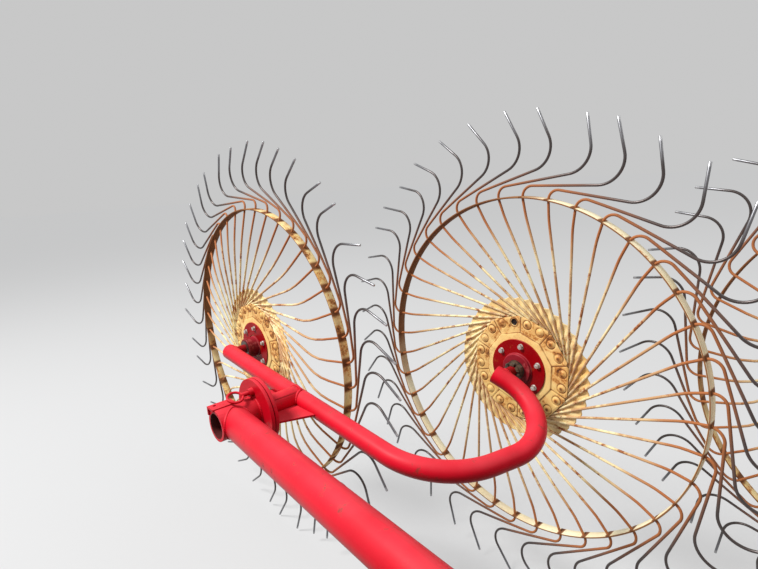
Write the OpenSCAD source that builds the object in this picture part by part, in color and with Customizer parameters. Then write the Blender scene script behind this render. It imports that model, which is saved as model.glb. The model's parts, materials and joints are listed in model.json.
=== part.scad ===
// Rotary hay rake: a three-point mounted finger-wheel rake with four wheels.
// +Z is up, X runs along the wheel planes and +Y is each wheel axis, pointing back.
// The origin is on the ground, below the middle of the rake's overall outline.

/* [Wheels] */
// Radius from the hub to the tips of the tines
tip_r = 706; // [660:1:750]
// Middle radius of the flat hoop that the tines pass through
rim_r = 480; // [460:1:500]
// Width of the hoop along the axle
rim_w = 28; // [20:1:36]
// Thickness of the hoop
rim_t = 5; // [4:0.5:8]
// Tines in a wheel
tines = 40; // [20:1:44]
// Diameter of the spring wire
wire_d = 7; // [6:0.5:8]
// Pitch of the wheels measured in the wheel plane
pitch_x = 832; // [820:1:900]
// Pitch of the wheels measured along the axles
pitch_y = 347; // [330:1:400]
// Place of the row's middle behind the middle of the rake's outline
row_y = 513; // [450:1:550]

/* [Hubs] */
// Radius of the pressed plate in front of the tines
front_plate_r = 156; // [150:1:162]
// Radius of the plate behind the tines
back_plate_r = 205; // [195:1:215]
// Radius of the round flange that clamps the plates
flange_r = 84; // [76:1:92]
// Outer radius of the hub barrel
barrel_r = 34; // [30:1:40]
// Diameter of the spindle that a wheel turns on
spindle_d = 30; // [25:1:35]

/* [Crank arms] */
// Outer diameter of the crank arm's pipe
arm_d = 51; // [45:1:60]
// Distance from the plane of the front wheel to the straight part of the arm
arm_gap = 132; // [120:1:160]
// How far the arm's pivot is below the wheel centres
pivot_drop = 42; // [30:1:60]
// Place of the pivot beside the middle of its pair of wheels
pivot_x = -7; // [-20:1:20]
// Diameter of the shaft that turns in the pivot sleeve
shaft_d = 60; // [56:1:62]
// Diameter of the two index discs
disc_d = 182; // [172:1:200]
// Thickness of one index disc
disc_t = 10; // [8:1:12]

/* [Main frame] */
// Outer diameter of the main tube
tube_d = 80; // [70:1:81]
// Outer diameter of the pivot sleeves
sleeve_d = 84; // [83:1:90]
// Wall of the main tube
tube_wall = 5; // [4:0.5:8]
// Angle between the main tube and the wheel planes, seen from above
tube_skew = 4.3; // [0:0.1:8]
// Distance from the plane of the front wheel to the main tube at its pivot
tube_gap = 331; // [320:1:345]

/* [Three-point hitch] */
// Angle between the tractor's axle and the wheel planes, seen from above
hitch_skew = 18; // [10:1:25]
// Place of the middle of the hitch along the wheel planes
hitch_x = -60; // [-100:1:100]
// Distance from the row's middle to the hitch in front of it
hitch_gap = 1420; // [1380:1:1500]
// Distance between the shoulders of the lower pins
lower_span = 683; // [683:1:683]
// Height of the lower pins above the ground
lower_z = 540; // [500:1:600]
// Height of the top pin above the lower pins
mast_h = 460; // [460:1:460]
// Diameter of the lower pins
lower_pin_d = 22; // [22:1:22]
// Diameter of the top pin
top_pin_d = 19; // [19:1:19]

/* [Hidden] */
$fn = 48;

red = [0.80, 0.06, 0.08];
cream = [0.86, 0.80, 0.58];
steel = [0.55, 0.55, 0.55];

// The wire leaves the hub plates at this radius and this tangential place.
root_r = 82;
root_side = 124;
// Each wire crosses the hoop, kneels this far outside it and runs sideways along it.
knee_out = 30;
run_len = 277;
// The free end turns out and back towards the wire's own spoke, and leans along the axle.
tip_side = 245;
tip_lean = 5;

// The wire's path in a wheel: columns are radius, tangential place, place along the axle.
// Its second point is the spoke's bend, which each wheel has at its own place.
tine_path = [
    [root_r, root_side, 0],
    [rim_r - 50, 11, 0],
    [rim_r + knee_out, -2, -wire_d],
    [rim_r + knee_out + 1, run_len, -3],
    [sqrt(tip_r * tip_r - tip_side * tip_side), tip_side, tip_lean],
];
// Radii of the wire's three bends; the last one takes its size from the free end's reach.
tip_bend = 0.39 * (tine_path[4].x - tine_path[3].x);
tine_bends = [200, 28, tip_bend];
// Use has bent the free ends about: columns are a tip's shift outwards and sideways.
tip_stray = [[0, -2], [-6, -12], [0, -8], [0, 0], [-4, 8], [-9, 20], [-8, 5], [-18, 25]];
// Angle of the first tine from straight up, for wheels 1 to 4.
wheel_phase = [4.68, 1.87, 6.2, 0.6];
// The tines sweep one way (1), or the wheel is turned over (-1), for wheels 1 to 4.
wheel_hand = [-1, 1, -1, 1];
// How far the plates and the hub stand behind the hoop's plane, for wheels 1 to 4.
wheel_dish = [-28, 4, -28, 4];
// Where the spokes bend towards the hoop, for wheels 1 to 4, in the columns of the path.
spoke_bend = [[365, 2, -32], [rim_r - 50, 11, 0], [365, 2, -32], [rim_r - 50, 11, 0]];
// Share of its way to that bend which a wire has gone where it passes the back plate's edge.
lean_share = 0.3;

// The rake stands on its tines: hubs are as high as a wire's end reaches.
tip_dir = unit([tine_path[4].x - tine_path[3].x, tine_path[4].y - tine_path[3].y]);
hub_z = norm([tine_path[4].x - tip_dir.y * wire_d / 2, tine_path[4].y + tip_dir.x * wire_d / 2]);

pivot_z = hub_z - pivot_drop;

// The second pair of wheels is the first one moved by two pitches.
pair_shift = [2 * pitch_x, 2 * pitch_y, 0];
// Ground point of the first pair: x midway between its wheels, y in the front wheel's plane.
pair_origin = [-pitch_x, row_y - 1.5 * pitch_y, 0];

// The arm's hook goes out past the rear axle, down below it and behind the wheel's plane.
hook_out = 213;
hook_drop = 101;
hook_back = 43;
hook_gap = 89;

// The crank arm's path in its pair: columns are x, y, z.
arm_path = [
    [-pitch_x / 2 - 14, -arm_gap, hub_z + 2],
    [pitch_x / 2 + hook_out / 2, -arm_gap + 2, hub_z - hook_drop],
    [pitch_x / 2 + hook_out, pitch_y - hook_back, hub_z - hook_drop - 1],
    [pitch_x / 2 - 20, pitch_y - hook_gap, hub_z + 4],
];
arm_bends = [200, 150];

// Place of the index disc's rear face and of the sleeve's open end, in the pair.
disc_y = -257;
sleeve_end_y = -378;
disc_play = 2;
shaft_play = 0.16;
// The sleeves are bored wider at their open ends, as deep as the shaft lies inside them.
mouth_d = 67;
mouth_len = 24;

// The lock pin sits above the sleeve and passes the discs near their edge.
lock_r = 58;
lock_d = 12;
pin_play = 0.6;
boss_len = 12;
ring_r = 20;
ring_wire = 7;
ring_y = -318;
ring_tilt = 20;

// Small gap left where a tube is notched to sit on another one.
seat_play = 0.3;
// The tubes start this far beyond the axis of the sleeve they sit on.
tube_start = 4;

// Hitch pieces.
lug_t = 14;
shoulder = 30;
beam_w = 60;
beam_wall = 6;
mast_t = 12;
mast_gap = 56;
stay_d = 34;

// Places where the struts stand: along the hitch beam, and along the main tube.
strut_d = 56;
strut_left_x = [-260, -60];
strut_right_x = [260, 430];
// The brace runs from the main tube back to the long rear sleeve.
brace_d = 48;
brace_x = 100;
brace_y = 240;

// The parking leg, its socket and its foot.
leg_x = 120;
leg_w = 48;
leg_deep = 38;
leg_wall = 4;
leg_above = 150;
socket_wall = 5;
socket_h = 140;
foot_w = 120;
foot_t = 8;

// Plates, bosses and bolts of the hub.
plate_t = 3;
back_plate_t = 4;
ridge_r = 106;
hub_front = 50;
hub_rear = 40;
flange_t = 8;
hub_bolts = 6;
bolt_ring_r = 68;
bolt_head = 14;
bolt_h = 7;
bosses = 20;
boss_r = 9;
boss_ring_r = 134;
// How far the front plate is turned on its hub, for wheels 1 to 4.
plate_turn = [0, 6, 21, 30];

tube_root = pair_origin + [pivot_x, -tube_gap, pivot_z];
tube_len = pair_shift.x / cos(tube_skew);
cross_y = tube_root.y - pair_shift.x * tan(tube_skew);
hitch_y = row_y - hitch_gap;
top_z = lower_z + mast_h;

function unit(v) = v / norm(v);
// Euler angles that turn the x, y and z axes onto three given unit vectors.
function euler(ex, ey, ez) = [atan2(ey.z, ez.z), -asin(ex.z), atan2(ex.y, ex.x)];
// Half of the angle by which a path turns at its point b.
function half_turn(a, b, c) = acos(max(-1, min(1, unit(b - a) * unit(c - b)))) / 2;
// Length that a bend of radius r takes from each leg at point b.
function setback(a, b, c, r) = r * tan(half_turn(a, b, c));

// The path of tine k in wheel i.
function tine(k, i) =
    let(
        last = len(tine_path) - 1,
        hand = wheel_hand[i - 1],
        bend = spoke_bend[i - 1],
        stray = tip_stray[k % len(tip_stray)]
    )
        [
            [root_r, hand * root_side, wheel_dish[i - 1]],
            [bend.x, hand * bend.y, bend.z],
            for (j = [2:last])
                [
                    tine_path[j].x + (j == last ? stray.x : 0),
                    hand * (tine_path[j].y + (j == last ? stray.y : 0)),
                    hand * tine_path[j].z,
                ],
        ];

// The point on the main tube's middle line at a given x.
function on_tube(x) = [x, tube_root.y - (x - tube_root.x) * tan(tube_skew), pivot_z];

// A straight round bar from p to q.
module rod(p, q, d) {
    v = q - p;
    translate(p)
        rotate([0, acos(v.z / norm(v)), atan2(v.y, v.x)])
            cylinder(h = norm(v), d = d);
}

// The round elbow of radius r at point b of a path from a to c.
// Its bar is a touch thicker than the straight bars, whose ends reach into it.
module elbow(a, b, c, r, d) {
    s = setback(a, b, c, r);
    axis = unit(cross(b - a, c - b));
    ex = cross(unit(b - a), axis);
    center = b - unit(b - a) * s - ex * r;
    translate(center)
        rotate(euler(ex, cross(axis, ex), axis))
            rotate_extrude(angle = 2 * half_turn(a, b, c))
                translate([r, 0]) circle(d = d);
}

// A bar bent along a path, with one bend radius for each inner point.
module bent_rod(path, bends, d) {
    last = len(path) - 1;
    skin = d / 150;
    cut = [
        for (i = [0:last])
            i == 0 || i == last
                ? 0
                : setback(path[i - 1], path[i], path[i + 1], bends[i - 1]) - sqrt(bends[i - 1] * skin),
    ];
    for (i = [0:last - 1]) {
        dir = unit(path[i + 1] - path[i]);
        rod(path[i] + dir * cut[i], path[i + 1] - dir * cut[i + 1], d);
    }
    for (i = [1:last - 1])
        elbow(path[i - 1], path[i], path[i + 1], bends[i - 1], d + 2 * skin);
}

// Places children of wheel i, whose own z is the axle and whose own x is up.
module at_wheel(i) {
    translate([(i - 2.5) * pitch_x, row_y + (i - 2.5) * pitch_y, hub_z])
        rotate([-90, -90, 0]) children();
}

// Places children drawn for the first pair, for pair 0 or pair 1.
module at_pair(k) {
    translate(pair_origin + k * pair_shift) children();
}

// A bar along +y on the pivot's axis, from y0 to y1 in the pair.
module pivot_bar(y0, y1, d) {
    translate([pivot_x, y0, pivot_z]) rotate([-90, 0, 0]) cylinder(h = y1 - y0, d = d);
}

// A tube along +y on the pivot's axis.
module pivot_tube(y0, y1, outer, inner) {
    difference() {
        pivot_bar(y0, y1, outer);
        pivot_bar(y0 - 1, y1 + 1, inner);
    }
}

// The hoop, its forty wires and the plate behind them, which are fixed together.
// The plate's outer part leans as the wires do on their way to the hoop.
module wheel(i) {
    plate_back = 1.5 + back_plate_t;
    rise = lean_share * (spoke_bend[i - 1].z - wheel_dish[i - 1]);
    color(cream) at_wheel(i) {
        difference() {
            translate([0, 0, -rim_w / 2]) cylinder(h = rim_w, r = rim_r + rim_t / 2, $fn = 120);
            translate([0, 0, -rim_w]) cylinder(h = 2 * rim_w, r = rim_r - rim_t / 2, $fn = 120);
        }
        for (k = [0:tines - 1])
            rotate([0, 0, wheel_phase[i - 1] + k * 360 / tines])
                bent_rod(tine(k, i), tine_bends, wire_d, $fn = 32);
        translate([0, 0, wheel_dish[i - 1]])
            difference() {
                union() {
                    rotate_extrude()
                        polygon([
                            [barrel_r, 1.5],
                            [front_plate_r - 6, 1.5],
                            [back_plate_r, 1.5 + rise],
                            [back_plate_r, plate_back + rise],
                            [front_plate_r - 6, plate_back],
                            [barrel_r, plate_back],
                        ]);
                    translate([0, 0, -4]) cylinder(h = 6, r = 100);
                }
                translate([0, 0, -5]) cylinder(h = 12, r = barrel_r + 0.5);
            }
    }
}

// The pressed front plate, ten-sided, with a raised middle and a ring of round bosses.
module plate(i) {
    back = -wire_d / 2 - 0.5;
    front = back - 2 * plate_t;
    color(cream) at_wheel(i) translate([0, 0, wheel_dish[i - 1]]) rotate([0, 0, plate_turn[i - 1]])
        difference() {
            union() {
                translate([0, 0, back - plate_t]) cylinder(h = plate_t, r = front_plate_r, $fn = 10);
                translate([0, 0, front]) cylinder(h = plate_t + 1, r = ridge_r, $fn = 10);
                for (k = [0:bosses - 1])
                    rotate([0, 0, (k + 0.5) * 360 / bosses])
                        translate([boss_ring_r, 0, front]) cylinder(h = plate_t + 1, r = boss_r);
            }
            translate([0, 0, front - plate_t]) cylinder(h = 4 * plate_t, r = barrel_r + 0.5);
        }
}

// The hub: a flange with bolt heads in front of the plates and a barrel on the spindle.
module hub(i) {
    plate_front = -wire_d / 2 - 0.5 - 2 * plate_t;
    color(red) at_wheel(i) translate([0, 0, wheel_dish[i - 1]])
        difference() {
            union() {
                translate([0, 0, plate_front - flange_t]) cylinder(h = flange_t, r = flange_r);
                translate([0, 0, -hub_front]) cylinder(h = hub_front + hub_rear, r = barrel_r);
                for (k = [0:hub_bolts - 1])
                    rotate([0, 0, 10 + k * 360 / hub_bolts])
                        translate([bolt_ring_r, 0, plate_front - flange_t - bolt_h])
                            cylinder(h = bolt_h + 1, d = bolt_head, $fn = 6);
            }
            translate([0, 0, -hub_front - 1])
                cylinder(h = hub_front + hub_rear + 2, d = spindle_d + 1);
        }
}

// The spindle stands on the arm's pipe and ends in a nut behind the hub.
module spindle(i) {
    reach = i % 2 == 1 ? arm_gap : hook_gap - 4;
    hub_end = hub_rear + wheel_dish[i - 1];
    color(steel)
        difference() {
            at_wheel(i) {
                translate([0, 0, -reach]) cylinder(h = reach + hub_end + 5, d = spindle_d);
                translate([0, 0, hub_end + 2]) cylinder(h = 6, d = 50);
            }
            at_pair(i > 2 ? 1 : 0) bent_rod(arm_path, arm_bends, arm_d + 2 * seat_play);
        }
}

module arm(k) {
    color(red) at_pair(k) bent_rod(arm_path, arm_bends, arm_d);
}

// The hollow shaft that carries the arm and turns in the sleeve.
module arm_shaft(k) {
    color(red) at_pair(k)
        difference() {
            pivot_tube(sleeve_end_y + mouth_len, -arm_gap, shaft_d, shaft_d - 12);
            bent_rod(arm_path, arm_bends, arm_d + 2 * seat_play);
        }
}

// Flat plates between the shaft, the disc's edge and the arm, on both sides.
module arm_gusset(k) {
    disc_rear = disc_y + disc_play / 2 + disc_t;
    drop = 14;
    along_disc = disc_d / 2 - 9;
    along_arm = 132;
    gusset_t = 6;
    color(red) at_pair(k)
        difference() {
            for (s = [-1, 1])
                translate([pivot_x, 0, pivot_z - drop - gusset_t / 2])
                    linear_extrude(gusset_t)
                        polygon([
                            [0, disc_rear],
                            [0, -arm_gap],
                            [s * along_arm, -arm_gap],
                            [s * along_disc, disc_rear],
                        ]);
            pivot_bar(disc_y, 0, shaft_d + 2 * seat_play);
            bent_rod(arm_path, arm_bends, arm_d + 2 * seat_play);
        }
}

// A hole or a bar along +y at the lock pin's place, turned by an angle about the pivot.
module at_lock(y0, y1, d, turn = 0) {
    translate([pivot_x, y0, pivot_z])
        rotate([-90, turn, 0]) translate([0, -lock_r, 0]) cylinder(h = y1 - y0, d = d);
}

// The disc on the arm has a hole for each place where the arm can be locked.
module arm_disc(k) {
    front = disc_y + disc_play / 2;
    color(red) at_pair(k)
        difference() {
            pivot_tube(front, front + disc_t, disc_d, shaft_d);
            for (turn = [0:45:180])
                at_lock(front - 5, front + disc_t + 5, lock_d + pin_play, -turn);
        }
}

// The disc on the frame carries the lock pin in a short boss.
module index_disc(k) {
    rear = disc_y - disc_play / 2;
    color(red) at_pair(k)
        difference() {
            union() {
                pivot_tube(rear - disc_t, rear, disc_d, shaft_d + shaft_play);
                difference() {
                    at_lock(rear - disc_t - boss_len, rear - 1, lock_d + 10);
                    pivot_bar(rear - 100, rear, sleeve_d + 2 * seat_play);
                }
            }
            at_lock(rear - 100, rear + 5, lock_d + pin_play);
        }
}

// The lock pin is drawn back out of the arm's disc and ends in a pull ring.
module lock_pin(k) {
    color(steel) at_pair(k) {
        at_lock(ring_y + ring_r - 5, disc_y - disc_play / 2 - 1, lock_d);
        translate([pivot_x, ring_y, pivot_z + lock_r])
            rotate([0, ring_tilt, 0]) rotate_extrude() translate([ring_r, 0]) circle(d = ring_wire);
    }
}

// A sleeve for the arm's shaft, from its open end up to the frame's index disc.
module sleeve(open_end) {
    difference() {
        pivot_bar(open_end, disc_y - disc_play / 2 - disc_t, sleeve_d);
        pivot_bar(open_end - 1, 0, shaft_d + shaft_play);
        pivot_bar(open_end - 1, open_end + mouth_len, mouth_d);
    }
}

// The sleeve on the main tube's end, with a folded strip welded on its top.
module pivot_sleeve_a() {
    strip_w = 36;
    strip_t = 5;
    strip_len = 66;
    color(red) at_pair(0) {
        sleeve(sleeve_end_y);
        translate([pivot_x - strip_w, sleeve_end_y - 4, pivot_z + sleeve_d / 2 - 2])
            difference() {
                cube([strip_w, strip_len, strip_t]);
                translate([12, 16, -1]) cylinder(h = strip_t + 2, d = 9);
            }
        translate([pivot_x - strip_w, sleeve_end_y - 4, pivot_z + sleeve_d / 2 - 20])
            cube([strip_t, strip_len, 20]);
    }
}

// The main tube is notched at both ends to sit on the two pivot sleeves.
module main_tube() {
    color(red)
        difference() {
            translate(tube_root)
                rotate([0, 90, -tube_skew])
                    difference() {
                        translate([0, 0, tube_start]) cylinder(h = tube_len - 2 * tube_start, d = tube_d);
                        cylinder(h = tube_len, d = tube_d - 2 * tube_wall);
                    }
            for (k = [0, 1])
                at_pair(k) pivot_bar(-1500, -100, sleeve_d + 2 * seat_play);
        }
}

// The long rear sleeve reaches from in front of the main tube back to the second pivot.
module cross_tube() {
    color(red) at_pair(1) sleeve(cross_y - pair_origin.y - pair_shift.y - 60);
}

// The space that the main tube takes, with a little play around it.
module main_tube_room() {
    translate(tube_root) rotate([0, 90, -tube_skew]) cylinder(h = tube_len, d = tube_d + 2 * seat_play);
}

// The brace holds the long rear sleeve at its far end.
module brace() {
    color(red)
        difference() {
            rod(on_tube(brace_x), [pitch_x + pivot_x, row_y - brace_y, pivot_z], brace_d);
            main_tube_room();
            at_pair(1) pivot_bar(-1500, -100, sleeve_d + 2 * seat_play);
        }
}

// Places children in the hitch's own frame: x along the tractor's axle, y pointing back.
module at_hitch() {
    translate([hitch_x, hitch_y, 0]) rotate([0, 0, -hitch_skew]) children();
}

// A square tube with a lug plate at each end for the lower pins.
module hitch_beam() {
    lug_x = lower_span / 2 - shoulder - lug_t / 2;
    color(red) at_hitch()
        difference() {
            union() {
                translate([-lower_span / 2 + shoulder + 2, -beam_w / 2, pivot_z - beam_w / 2])
                    cube([lower_span - 2 * shoulder - 4, beam_w, beam_w]);
                for (s = [-1, 1])
                    translate([s * lug_x - lug_t / 2, -beam_w / 2, lower_z - 40])
                        cube([lug_t, beam_w, pivot_z - lower_z + 40 + beam_w / 2]);
            }
            translate([-lower_span, 0, lower_z])
                rotate([0, 90, 0]) cylinder(h = 2 * lower_span, d = lower_pin_d + pin_play);
            translate([-lower_span, beam_wall - beam_w / 2, pivot_z + beam_wall - beam_w / 2])
                cube([2 * lower_span, beam_w - 2 * beam_wall, beam_w - 2 * beam_wall]);
        }
}

// Two upright plates hold the top pin.
module mast() {
    color(red) at_hitch()
        difference() {
            for (s = [-1, 1])
                translate([s * (mast_gap + mast_t) / 2 - mast_t / 2, -beam_w / 2, pivot_z + beam_w / 2])
                    cube([mast_t, beam_w, top_z + 30 - pivot_z - beam_w / 2]);
            translate([-100, 0, top_z]) rotate([0, 90, 0]) cylinder(h = 200, d = top_pin_d + pin_play);
        }
}

// A slanting pipe from the beam to the upper part of one mast plate.
module mast_stay(s) {
    side = mast_gap / 2 + mast_t;
    top = pivot_z + beam_w / 2;
    color(red) at_hitch()
        difference() {
            rod([s * 240, 0, top - 20], [s * (side - 10), 0, top_z - 50], stay_d);
            translate([-side, -beam_w, top]) cube([2 * side, 2 * beam_w, mast_h]);
            translate([-lower_span, -beam_w, top - 100]) cube([2 * lower_span, 2 * beam_w, 100]);
        }
}

module top_pin() {
    color(steel) at_hitch()
        translate([-70, 0, top_z]) rotate([0, 90, 0]) cylinder(h = 140, d = top_pin_d);
}

// A lower pin with its shoulder outside the lug and its nut inside.
module lower_pin(s) {
    nut_t = 12;
    inner_end = -shoulder - lug_t - nut_t - 4;
    color(steel) at_hitch()
        translate([s * (lower_span / 2), 0, lower_z])
            rotate([0, 90 * s, 0]) {
                translate([0, 0, inner_end]) cylinder(h = 60 - inner_end, d = lower_pin_d);
                translate([0, 0, -shoulder]) cylinder(h = shoulder, d = 38);
                translate([0, 0, -shoulder - lug_t - nut_t]) cylinder(h = nut_t, d = 34);
            }
}

// A strut from a place along the hitch beam to a place along the main tube.
module strut(places) {
    x0 = places.x;
    a = [hitch_x + x0 * cos(hitch_skew), hitch_y - x0 * sin(hitch_skew), pivot_z];
    color(red)
        difference() {
            rod(a, on_tube(places.y), strut_d);
            main_tube_room();
            at_hitch()
                translate([-lower_span, -4 * beam_w, pivot_z - beam_w])
                    cube([2 * lower_span, 4.5 * beam_w, 2 * beam_w]);
        }
}

// Places children at the front left corner of the leg, which stands in front of the beam.
module at_leg() {
    at_hitch() translate([leg_x, -beam_w / 2 - socket_wall - 1 - leg_deep, 0]) children();
}

module leg_socket() {
    color(red) at_leg()
        translate([0, 0, pivot_z - socket_h / 2])
            difference() {
                translate([-1 - socket_wall, -1 - socket_wall, 0])
                    cube([leg_w + 2 * socket_wall + 2, leg_deep + 2 * socket_wall + 2, socket_h]);
                translate([-1, -1, -1]) cube([leg_w + 2, leg_deep + 2, socket_h + 2]);
            }
}

// The parking leg is a square tube on a foot plate.
module leg() {
    color(steel) at_leg() {
        difference() {
            translate([0, 0, foot_t]) cube([leg_w, leg_deep, pivot_z + leg_above - foot_t]);
            translate([leg_wall, leg_wall, foot_t + 1])
                cube([leg_w - 2 * leg_wall, leg_deep - 2 * leg_wall, pivot_z + leg_above]);
        }
        translate([(leg_w - foot_w) / 2, (leg_deep - foot_w) / 2, 0]) cube([foot_w, foot_w, foot_t + 1]);
    }
}

main_tube();
pivot_sleeve_a();
cross_tube();
brace();
index_disc(0);  // index_disc_a
index_disc(1);  // index_disc_b
lock_pin(0);  // lock_pin_a
lock_pin(1);  // lock_pin_b
hitch_beam();
mast();
mast_stay(-1);  // mast_stay_left
mast_stay(1);  // mast_stay_right
top_pin();
lower_pin(-1);  // lower_pin_left
lower_pin(1);  // lower_pin_right
strut(strut_left_x);  // strut_left
strut(strut_right_x);  // strut_right
leg_socket();
leg();
arm(0);  // arm_a
arm_disc(0);  // arm_disc_a
arm_shaft(0);  // arm_shaft_a
arm_gusset(0);  // arm_gusset_a
spindle(1);  // spindle_1
spindle(2);  // spindle_2
arm(1);  // arm_b
arm_disc(1);  // arm_disc_b
arm_shaft(1);  // arm_shaft_b
arm_gusset(1);  // arm_gusset_b
spindle(3);  // spindle_3
spindle(4);  // spindle_4
wheel(1);  // wheel_1
plate(1);  // plate_1
hub(1);  // hub_1
wheel(2);  // wheel_2
plate(2);  // plate_2
hub(2);  // hub_2
wheel(3);  // wheel_3
plate(3);  // plate_3
hub(3);  // hub_3
wheel(4);  // wheel_4
plate(4);  // plate_4
hub(4);  // hub_4
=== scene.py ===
# %% [markdown]
# # A rotary hay rake
# Four big wheels of spring wire hang in pairs on red crank arms. The frame is towed slantwise
# over the hay, the wires touch the ground, and the wheels turn by themselves.
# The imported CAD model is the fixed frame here. This lesson dresses it: wires, hoops, pressed
# plates, bolts, welds, fresh red paint over old steel, and old cream paint full of rust.

# %% Load the frame and look at its size
import bpy
import json
import random
from math import cos, hypot, pi, radians, sin, sqrt, tan
from mathutils import Matrix, Vector, noise


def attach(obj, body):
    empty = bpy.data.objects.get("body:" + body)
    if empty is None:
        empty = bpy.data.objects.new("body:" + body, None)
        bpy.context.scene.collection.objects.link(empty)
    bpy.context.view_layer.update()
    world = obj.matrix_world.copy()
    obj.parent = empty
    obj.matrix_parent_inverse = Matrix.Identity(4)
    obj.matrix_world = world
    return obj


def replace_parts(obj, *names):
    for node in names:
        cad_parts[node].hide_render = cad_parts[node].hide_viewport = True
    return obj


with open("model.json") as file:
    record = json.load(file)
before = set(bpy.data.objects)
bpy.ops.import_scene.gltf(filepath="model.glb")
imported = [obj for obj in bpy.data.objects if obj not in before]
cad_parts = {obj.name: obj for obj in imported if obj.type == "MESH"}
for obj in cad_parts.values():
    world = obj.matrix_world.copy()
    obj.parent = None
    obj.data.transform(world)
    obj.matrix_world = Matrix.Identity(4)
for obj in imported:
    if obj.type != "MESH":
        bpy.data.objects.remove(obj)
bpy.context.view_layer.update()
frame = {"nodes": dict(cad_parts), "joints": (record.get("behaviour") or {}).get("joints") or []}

# %% [markdown]
# ## Sizes shared by all pieces
# The CAD source holds these sizes in millimetres. They are repeated here, because every piece
# must sit where its solid sits. Three of them are newer than the solids: the third wheel's
# phase and hand, and the turn of the second front plate. Wheel centres and the pivots come
# from the joints.

# %% Sizes
MM = 0.001
TIP_R, RIM_R, RIM_W, RIM_T = 706 * MM, 480 * MM, 28 * MM, 5 * MM
TINES, WIRE_D = 40, 7 * MM
PITCH_X, PITCH_Y = 832 * MM, 347 * MM
ARM_D, ARM_GAP = 51 * MM, 132 * MM
TUBE_D, SLEEVE_D, SHAFT_D = 80 * MM, 84 * MM, 60 * MM
TUBE_SKEW, TUBE_GAP = radians(4.3), 331 * MM
MOUTH_GAP, MOUTH_LIP = 378 * MM, 60 * MM
DISC_T, DISC_Y = 10 * MM, -257 * MM
PHASES, HANDS, PLATE_TURNS = [4.68, 1.87, 4.5, 0.6], [-1, 1, 1, 1], [0, 3, 21, 30]
DISHES, LEAN_SHARE = [-28 * MM, 4 * MM, -28 * MM, 4 * MM], 0.3
OLD_BEND, NEW_BEND = (365 * MM, 2 * MM, -32 * MM), (RIM_R - 50 * MM, 11 * MM, 0)
SPOKE_BENDS = [OLD_BEND, NEW_BEND, OLD_BEND, NEW_BEND]
# How far use has bent each free end outwards and sideways, in millimetres.
TIP_STRAY = [(0, -2), (-6, -12), (0, -8), (0, 0), (-4, 8), (-9, 20), (-8, 5), (-18, 25)]
PANELS, BOSSES, BOSS_RING = 10, 20, 134 * MM
HOOP_AT = 414 * MM
SIDES = "ab"
joint_at = {j["name"]: Vector(j["pos_m"]) for j in frame["joints"] if "pos_m" in j}
hubs = [joint_at[f"wheel_{i}_spin"] for i in (1, 2, 3, 4)]
pivots = [joint_at["arm_a_swing"], joint_at["arm_b_swing"]]
HUB_Z = hubs[0].z
print("wheel centres:", [tuple(round(c, 3) for c in h) for h in hubs])

# %% [markdown]
# ## The camera
# The view is from above the frame, looking over the pivot at the two leading wheels. Its place
# follows from the forty equally spaced wires of the nearest wheel, so it is written as numbers.

# %% Camera
scene = bpy.context.scene
camera = bpy.data.objects.new("camera", bpy.data.cameras.new("camera"))
scene.collection.objects.link(camera)
camera.location = (0.376, -0.8585, 1.2578)
camera.rotation_euler = [radians(a) for a in (78.469, 3.735, 48.194)]
camera.data.sensor_width = 36
camera.data.lens = 24.427
camera.data.clip_end = 200
scene.camera = camera

# %% [markdown]
# ## Node helpers
# Every finish below is built from shader nodes. A Value wraps what a node puts out, so a sum on
# it is written as a plain sum, and each sum adds a node to the tree. The other helpers add a
# node, fill its inputs, blend two colours, and start a group with named sockets.

# %% Helpers: nodes, values and sums
def add_node(tree, kind, **settings):
    node = tree.nodes.new(kind)
    for key, value in settings.items():
        setattr(node, key, value)
    return node


def plug(value, socket):
    """Links what a node puts out to the socket, or writes a plain number or colour on it."""
    if isinstance(value, Value):
        socket.id_data.links.new(value.socket, socket)
    else:
        socket.default_value = value


def fill(node, *first, **named):
    """Fills a node's first inputs in order and others by name, and returns all its outputs."""
    for value, socket in zip(first, node.inputs):
        plug(value, socket)
    for name, value in named.items():
        plug(value, node.inputs[name])
    return [Value(socket) for socket in node.outputs]


def calc(operation, *values):
    tree = next(value.tree for value in values if isinstance(value, Value))
    return fill(add_node(tree, "ShaderNodeMath", operation=operation), *values)[0]


class Value:
    """What a node puts out. Sums on it add nodes to the same tree."""

    def __init__(self, socket):
        self.socket, self.tree = socket, socket.id_data

    def __add__(self, other):
        return calc("ADD", self, other)

    def __sub__(self, other):
        return calc("SUBTRACT", self, other)

    def __rsub__(self, other):
        return calc("SUBTRACT", other, self)

    def __mul__(self, other):
        return calc("MULTIPLY", self, other)

    def __abs__(self):
        return calc("ABSOLUTE", self)

    def most(self, *others):
        largest = self
        for other in others:
            largest = calc("MAXIMUM", largest, other)
        return largest

    def hypot(self, other):
        return calc("SQRT", self * self + other * other)

    def spread(self, low, high, to_low=0.0, to_high=1.0):
        """Eases from to_low to to_high while the value goes from low to high."""
        node = add_node(self.tree, "ShaderNodeMapRange", interpolation_type="SMOOTHSTEP")
        ends = {"From Min": low, "From Max": high, "To Min": to_low, "To Max": to_high}
        return fill(node, Value=self, **ends)[0]

# %% Helpers: nodes that many finishes use
def source(tree, kind, output, **settings):
    return Value(add_node(tree, kind, **settings).outputs[output])


def split(tree, vector):
    return fill(add_node(tree, "ShaderNodeSeparateXYZ"), vector)


def object_place(tree):
    return source(tree, "ShaderNodeTexCoord", "Object")


def facing_up(tree):
    return split(tree, source(tree, "ShaderNodeNewGeometry", "Normal"))[2]


def piece_map(tree, name):
    return split(tree, source(tree, "ShaderNodeUVMap", "UV", uv_map=name))[:2]


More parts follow.
